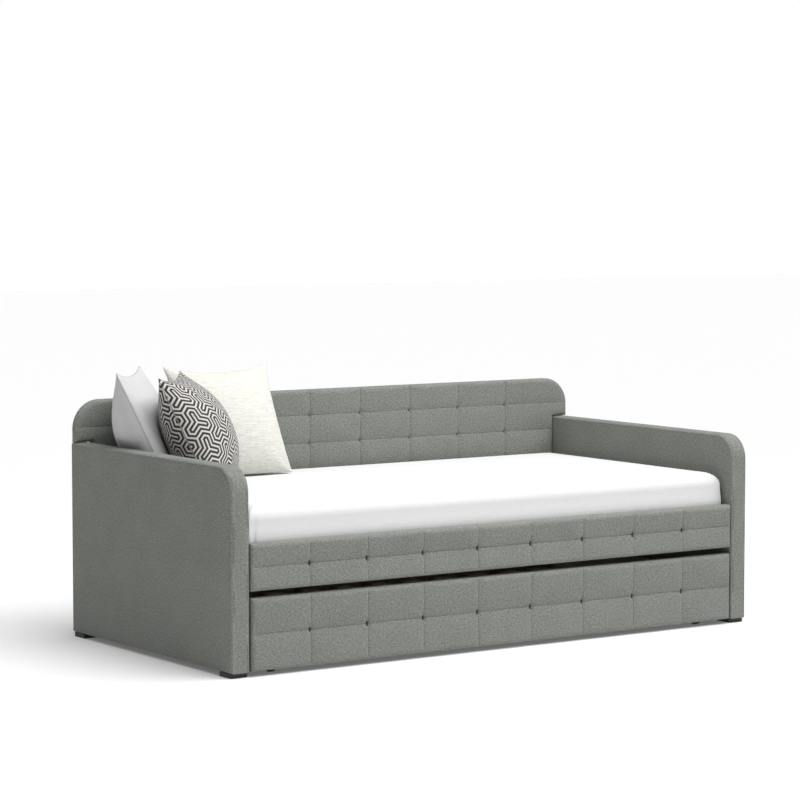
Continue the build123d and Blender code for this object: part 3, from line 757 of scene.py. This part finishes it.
def stuffed_square(
    name, centre, turn, lean, half, sides, material, replaced, seed, dip, waist,
    dent=None, tuck=0.0, cord_painted_shade=None,
):
    """Two square panels sewn round their edges and stuffed.

    The top edge dips between its corners as (1 - u squared), and the sides draw in by the
    waist. Where a neighbour's bulge dents the front, its thickness is eased to at most the
    room that is left, by a soft minimum 6 mm wide. A cord of 1.2 mm radius closes the seam.
    """
    count = 56
    crease_height = 0.0030
    ease = 0.006
    cord_radius, cord_sides = 0.0012, 6
    t = np.sin(np.linspace(-1, 1, count + 1) * np.pi / 2)
    v, u = np.meshgrid(t, t, indexing="ij")
    body = fullness(u, v)
    across = half[0] * u * (1 - waist * (1 - v**2) * abs(u) ** 1.5)
    across = across + tuck * np.clip(-u, 0, 1) ** 2 * np.clip((0.3 - v) / 0.7, 0, 1)
    along = half[1] * v - dip * (1 - u**2) * np.clip(v, 0, 1) ** 1.5
    along = along - 0.012 * np.clip(-v, 0, 1) ** 2
    rng = np.random.default_rng(seed)
    creases = np.zeros_like(u)
    for corner_u in (-1, 1):
        for corner_v in (-1, 1):
            du, dv = corner_u - u, corner_v - v
            away = np.hypot(du, dv)
            angle = np.arctan2(abs(dv), abs(du))
            wave = np.sin(angle * rng.uniform(9, 13) + rng.uniform(0, 6))
            creases += np.exp(-((away / 0.55) ** 2)) * wave * np.clip(away / 0.15, 0, 1)
    for edge_value, other in ((u, v), (v, u)):
        for sign in (-1, 1):
            near = 1 - sign * edge_value
            wave = np.sin(other * rng.uniform(22, 30) + rng.uniform(0, 6))
            creases += 0.8 * np.exp(-((near / 0.10) ** 1.2)) * wave * (1 - other**2)
    facing = np.array([math.sin(turn), -math.cos(turn), 0.0])
    normal = facing * math.cos(lean) + np.array([0, 0, math.sin(lean)])
    wide = np.array([math.cos(turn), math.sin(turn), 0.0])
    tall = np.cross(normal, wide)
    grids = []
    for amount, sign in zip(sides, (1, -1)):
        thick = amount * body + crease_height * creases * body**0.6
        if dent and sign > 0:
            free_room = dent(across, along)
            thick = -ease * np.log(np.exp(-thick / ease) + np.exp(-free_room / ease))
        thick = np.maximum(thick, 0.0)
        thick[[0, -1]] = 0
        thick[:, [0, -1]] = 0
        plane = centre + across[..., None] * wide + along[..., None] * tall
        grids.append(plane + sign * thick[..., None] * normal)
    points = np.concatenate([grid.reshape(-1, 3) for grid in grids])
    number = np.arange((count + 1) ** 2).reshape(count + 1, count + 1)
    rim = np.concatenate([number[0, :-1], number[:-1, -1], number[-1, :0:-1], number[:0:-1, 0]])
    path = points[rim]
    ahead = np.roll(path, -1, 0) - np.roll(path, 1, 0)
    ahead /= np.linalg.norm(ahead, axis=1, keepdims=True)
    round_it = np.arange(cord_sides)[:, None] * 2 * np.pi / cord_sides
    outward = np.cross(ahead, normal)[:, None]
    cord = path[:, None] + cord_radius * (np.cos(round_it) * outward + np.sin(round_it) * normal)
    ring = 2 * (count + 1) ** 2 + np.arange(len(path) * cord_sides).reshape(-1, cord_sides)
    after, beside = np.roll(ring, -1, 0), np.roll(ring, -1, 1)
    cord_faces = np.stack([ring, beside, np.roll(after, -1, 1), after], -1).reshape(-1, 4)
    points = np.concatenate([points, cord.reshape(-1, 3)])
    points[:, 2] = resting_height + eased(points[:, 2] - resting_height, 0.008)
    pressed = arm_face + eased(points[:, 0] - arm_face, 0.006)
    free = np.clip((points[:, 2] - arm_height - 0.004) / 0.03, 0, 1)
    points[:, 0] = points[:, 0] * free + pressed * (1 - free)
    rear_number = number + (count + 1) ** 2
    for line in (np.s_[0], np.s_[-1], np.s_[:, 0], np.s_[:, -1]):
        rear_number[line] = number[line]
    faces = np.concatenate([squares(number), squares(rear_number)[:, ::-1], cord_faces])
    used, faces = np.unique(faces, return_inverse=True)
    faces = faces.reshape(-1, 4)
    maps = []
    for index, grid in enumerate(grids):
        run = np.linalg.norm(np.diff(grid, axis=1), axis=2)
        rise = np.linalg.norm(np.diff(grid, axis=0), axis=2)
        run = np.concatenate([np.zeros((count + 1, 1)), np.cumsum(run, 1)], 1)
        rise = np.concatenate([np.zeros((1, count + 1)), np.cumsum(rise, 0)], 0)
        centred = np.stack([run - run[:, [count // 2]], rise - rise[[count // 2]]], -1)
        maps.append(centred.reshape(-1, 2) + (index, 0.0))
    maps.append(np.repeat(maps[0][rim], cord_sides, 0))
    flat = np.concatenate(maps)
    item = make_piece(name, points[used], faces, material, "bed_frame", replaced, flat[used])
    # a darker cloth on the seam cord is painted shade for the crease along the seam
    if cord_painted_shade:
        item.data.materials.append(cord_painted_shade)
        which = np.zeros(len(faces), int)
        which[-len(cord_faces):] = 1
        item.data.polygons.foreach_set("material_index", which)


def hexagon_print():
    """Dark lines on pale linen, in hexagonal cells with their centres in a triangular grid.

    Each cell holds two nested hexagons that leave out two sides and run on straight there to
    the cell's edge. The way they open turns by a third of a circle from a cell to the next.
    """
    finish = Finish("hexagon_print", 0.88, Sheen_Weight=0.1, Specular_IOR_Level=0.2)
    u, v = finish.cloth()
    pitch = 0.056
    tall = pitch * math.sqrt(3)

    def cell(shift, number):
        """Offsets, in pitches, from the nearest centre of one of two grids, and its column."""
        x, y = u + shift * pitch, v + shift * tall
        p = (x.wrap(pitch) - pitch / 2) / pitch
        q = (y.wrap(tall) - tall / 2) / pitch
        return p, q, p * p + q * q, (x / pitch).floor() + number

    p1, q1, r1, column1 = cell(30.0, 0)
    p2, q2, r2, column2 = cell(30.5, 1)
    first = r1 < r2
    p = first * p1 + (1 - first) * p2
    q = first * q1 + (1 - first) * q2
    column = first * column1 + (1 - first) * column2
    turn = column * (2 * math.pi / 3) + math.pi / 6
    cosine, sine = (turn + math.pi / 2).sine(), turn.sine()
    ahead = p * cosine + q * sine
    aside = (q * cosine - p * sine).size()
    ring = 2 * aside.most(aside * 0.5 - ahead * (math.sqrt(3) / 2))
    dark = (ring.band(0.60, 0.63) * (1 - ring.band(0.87, 0.90))).most(
        ring.band(0.10, 0.13) * (1 - ring.band(0.37, 0.40))
    )
    weave = finish.noise(finish.vector(u * 500.0, v * 160.0), 1.0, 3.0, 0.6)
    weft = finish.noise(finish.vector(u * 160.0, v * 500.0, 4.0), 1.0, 3.0, 0.6)
    yarn = (weave + weft) * 0.5
    ground = yarn.band(0.3, 0.7).blend((0.44, 0.425, 0.41, 1), (0.66, 0.64, 0.62, 1))
    ink = yarn.band(0.3, 0.75).blend((0.018, 0.016, 0.015, 1), (0.07, 0.063, 0.058, 1))
    finish.feed(Base_Color=dark.blend(ground, ink))
    finish.bump(yarn + dark * 0.25, 0.0007, 0.8)
    return finish.material


def slub_cloth():
    """Cream cloth with thick uneven yarns across it: long soft noise lines in relief and tone."""
    finish = Finish("cream_slub", 0.9, Sheen_Weight=0.1, Specular_IOR_Level=0.2)
    u, v = finish.cloth()
    slub = finish.noise(finish.vector(u * 38.0, v * 480.0), 1.0, 4.0, 0.65)
    fine = finish.noise(finish.vector(u * 60.0, v * 900.0, 2.0), 1.0, 2.0, 0.6)
    streak = finish.noise(finish.vector(u * 16.0, v * 190.0, 9.0), 1.0, 3.0, 0.6)
    tone = slub * 0.6 + fine * 0.3 + streak * 0.35
    base = tone.band(0.45, 0.78).blend((0.545, 0.535, 0.462, 1), (0.755, 0.762, 0.725, 1))
    finish.feed(Base_Color=base)
    finish.bump(slub + fine * 0.4, 0.0016, 0.9)
    return finish.material


def printed_bulge(across, along):
    """How far in front of the white pillow's seam plane the printed cushion's rear stands."""
    return 0.1240 - 0.108 * fullness((across + 0.034) / 0.204, (along + 0.066) / 0.202)


def printed_corner(across, along):
    """The room in front of the cream cushion, beside the printed cushion's slanting edge."""
    up = along + 0.042
    past = across + 0.130 + 0.373 * up
    return np.maximum(0.0500 + 0.19 * up + 0.8 * np.maximum(past + 0.022, 0), 0.004)


corner_turn, corner_lean = math.radians(50), math.radians(25.5)
# The white pillow's seam cord is a darker grey than its cotton: painted shade of the crease along the
# seam.
stuffed_square(
    "white_pillow_cover", np.array([-0.8588, 0.3073, 0.7293]), corner_turn, corner_lean,
    half=(0.204, 0.211), sides=(0.055, 0.138),
    material=white_cover("pillow_cotton", (0.59, 0.59, 0.595), 0.004, 0.0005),
    replaced=["white_pillow"], seed=51, dip=0.024, waist=0.015,
    dent=printed_bulge, cord_painted_shade=white_cover("pillow_seam_painted_shade", (0.36, 0.36, 0.37), 0.002, 0.0003),
)
stuffed_square(
    "printed_cushion_cover", np.array([-0.770, 0.188, 0.725]), corner_turn, corner_lean,
    half=(0.204, 0.202), sides=(0.117, 0.108), material=hexagon_print(),
    replaced=["patterned_cushion"], seed=52, dip=0.028, waist=0.015,
)
stuffed_square(
    "cream_cushion_cover", np.array([-0.505, 0.418, 0.731]), math.radians(-3), math.radians(26.8),
    half=(0.2047, 0.2047), sides=(0.100, 0.035), material=slub_cloth(),
    replaced=["cream_cushion"], seed=53, dip=0.030, waist=0.10,
    dent=printed_corner, tuck=0.034,
)

# ------------------------------------------------------------------ dust cloth, timber, feet and fittings
# What is left of the frame shows from behind and below: a dust cloth stapled over the panel's
# back, planed softwood, dark laminated boards, moulded feet, zinc-plated steel and rollers.


def dust_cloth():
    """Thin black non-woven cloth: short crossed fibres."""
    finish = Finish("dust_cloth", 0.95, Specular_IOR_Level=0.15)
    x, y, z = finish.axes()
    fibre = finish.noise(finish.vector(x * 900.0, z * 260.0, y * 900.0), 1.0, 4.0, 0.7)
    finish.feed(Base_Color=fibre.band(0.35, 0.7).blend((0.030, 0.030, 0.032, 1), (0.075, 0.075, 0.078, 1)))
    finish.bump(fibre, 0.0004)
    return finish.material


def softwood(name, along, pale, deep):
    """Planed softwood: long growth lines along one axis, bent by noise, and fine pores."""
    finish = Finish(name, 0.6, Specular_IOR_Level=0.3)
    parts = finish.axes()
    where = finish.vector(*[part * (6.0 if index == along else 60.0) for index, part in enumerate(parts)])
    drift = finish.noise(where, 0.35, 3.0, 0.55)
    rings = (drift * 14.0 + finish.noise(where, 0.1, 2.0) * 6.0).sine() * 0.5 + 0.5
    fine = [part * (30.0 if index == along else 1500.0) for index, part in enumerate(parts)]
    pores = finish.noise(finish.vector(*fine), 1.0, 2.0, 0.6)
    finish.feed(Base_Color=(rings * 0.75 + pores * 0.3).band(0.05, 1.0).blend(pale, deep))
    finish.feed(Roughness=rings * 0.12 + 0.52)
    finish.bump(pores + rings * 0.3, 0.0003)
    return finish.material


def laminate():
    """Dark grey laminate with a faint printed grain."""
    finish = Finish("dark_laminate", 0.5)
    x, y, z = finish.axes()
    grain = finish.noise(finish.vector(x * 8.0, y * 8.0, z * 160.0), 1.0, 3.0, 0.6)
    finish.feed(Base_Color=grain.band(0.3, 0.75).blend((0.20, 0.197, 0.19, 1), (0.28, 0.275, 0.265, 1)))
    finish.feed(Roughness=grain * 0.2 + 0.4)
    finish.bump(grain, 0.0002)
    return finish.material


def moulded(name, dark, pale, rough):
    """Moulded plastic: a fine spark-eroded texture."""
    finish = Finish(name, rough)
    grit = finish.noise(finish.place, 1400.0, 2.0, 0.6)
    finish.feed(Base_Color=grit.band(0.3, 0.7).blend(dark, pale), Roughness=grit * 0.15 + rough)
    finish.bump(grit, 0.0002)
    return finish.material


def zinc():
    """Zinc-plated steel: bright, with faint crystals and rubbed patches."""
    finish = Finish("zinc_plate", 0.35, Metallic=1.0)
    flake = finish.start.out("TexVoronoi", 0, None, Vector=finish.place, Scale=420.0)
    cloud = finish.noise(finish.place, 60.0, 3.0, 0.6)
    tone = (flake * 0.6 + cloud * 0.6).band(0.1, 0.9)
    finish.feed(Base_Color=tone.blend((0.42, 0.43, 0.45, 1), (0.66, 0.67, 0.68, 1)))
    finish.feed(Roughness=cloud * 0.25 + 0.25)
    finish.bump(flake, 0.0001)
    return finish.material


def webbing():
    """Black woven tape: ribs across it."""
    finish = Finish("slat_tape", 0.9)
    x, y, _ = finish.axes()
    rib = (x * 2800.0).sine() * 0.5 + 0.5
    edge = (y * 2800.0).sine() * 0.5 + 0.5
    finish.feed(Base_Color=(rib * edge).blend((0.015, 0.015, 0.016, 1), (0.06, 0.06, 0.062, 1)))
    finish.bump(rib * edge, 0.0003)
    return finish.material


# The trundle's slats and bearers are dark grey pine, partly painted shade: the dark keeps the slot under
# the rail as evenly dark as its shade.
cross_grain = softwood("slat_pine", 1, (0.62, 0.45, 0.27, 1), (0.47, 0.30, 0.15, 1))
trundle_slat_shade_pine = softwood("stained_pine_painted_shade", 1, (0.24, 0.235, 0.225, 1), (0.16, 0.156, 0.15, 1))
long_grain = softwood("rail_pine", 0, (0.60, 0.43, 0.26, 1), (0.45, 0.29, 0.15, 1))
trundle_bearer_shade_pine = softwood("stained_bearer_painted_shade", 0, (0.24, 0.235, 0.225, 1), (0.16, 0.156, 0.15, 1))
finishes = {
    "back_panel_rear": dust_cloth(),
    "back_panel_board": long_grain,
    "left_arm_core": long_grain,
    "right_arm_core": long_grain,
    "front_rail_core": long_grain,
    "trundle_front_core": long_grain,
    "front_ledger": long_grain,
    "back_ledger": long_grain,
    "trundle_front_bearer": trundle_bearer_shade_pine,
    "trundle_back_bearer": trundle_bearer_shade_pine,
    "slats": cross_grain,
    "trundle_slats": trundle_slat_shade_pine,
}
boards = laminate()
foot_plastic = moulded("foot_plastic", (0.010, 0.008, 0.007, 1), (0.028, 0.023, 0.020, 1), 0.4)
nylon = moulded("roller_nylon", (0.04, 0.04, 0.043, 1), (0.085, 0.085, 0.09, 1), 0.4)
tread = moulded("roller_rubber", (0.018, 0.018, 0.018, 1), (0.045, 0.045, 0.045, 1), 0.7)
steel = zinc()
tape = webbing()
for name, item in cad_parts.items():
    if name in finishes:
        material = finishes[name]
    elif name.endswith(("_side", "_back_board")):
        material = boards
    elif name.endswith("_foot"):
        material = foot_plastic
    elif name.endswith("_wheel"):
        material = nylon
    elif name.endswith("_tyre"):
        material = tread
    elif name.endswith("straps"):
        material = tape
    elif name.endswith(("brackets", "bolts", "screws", "_fork", "_axle")):
        material = steel
    else:
        continue
    for place in item.material_slots:
        place.material = material
    if not item.material_slots:
        item.data.materials.append(material)
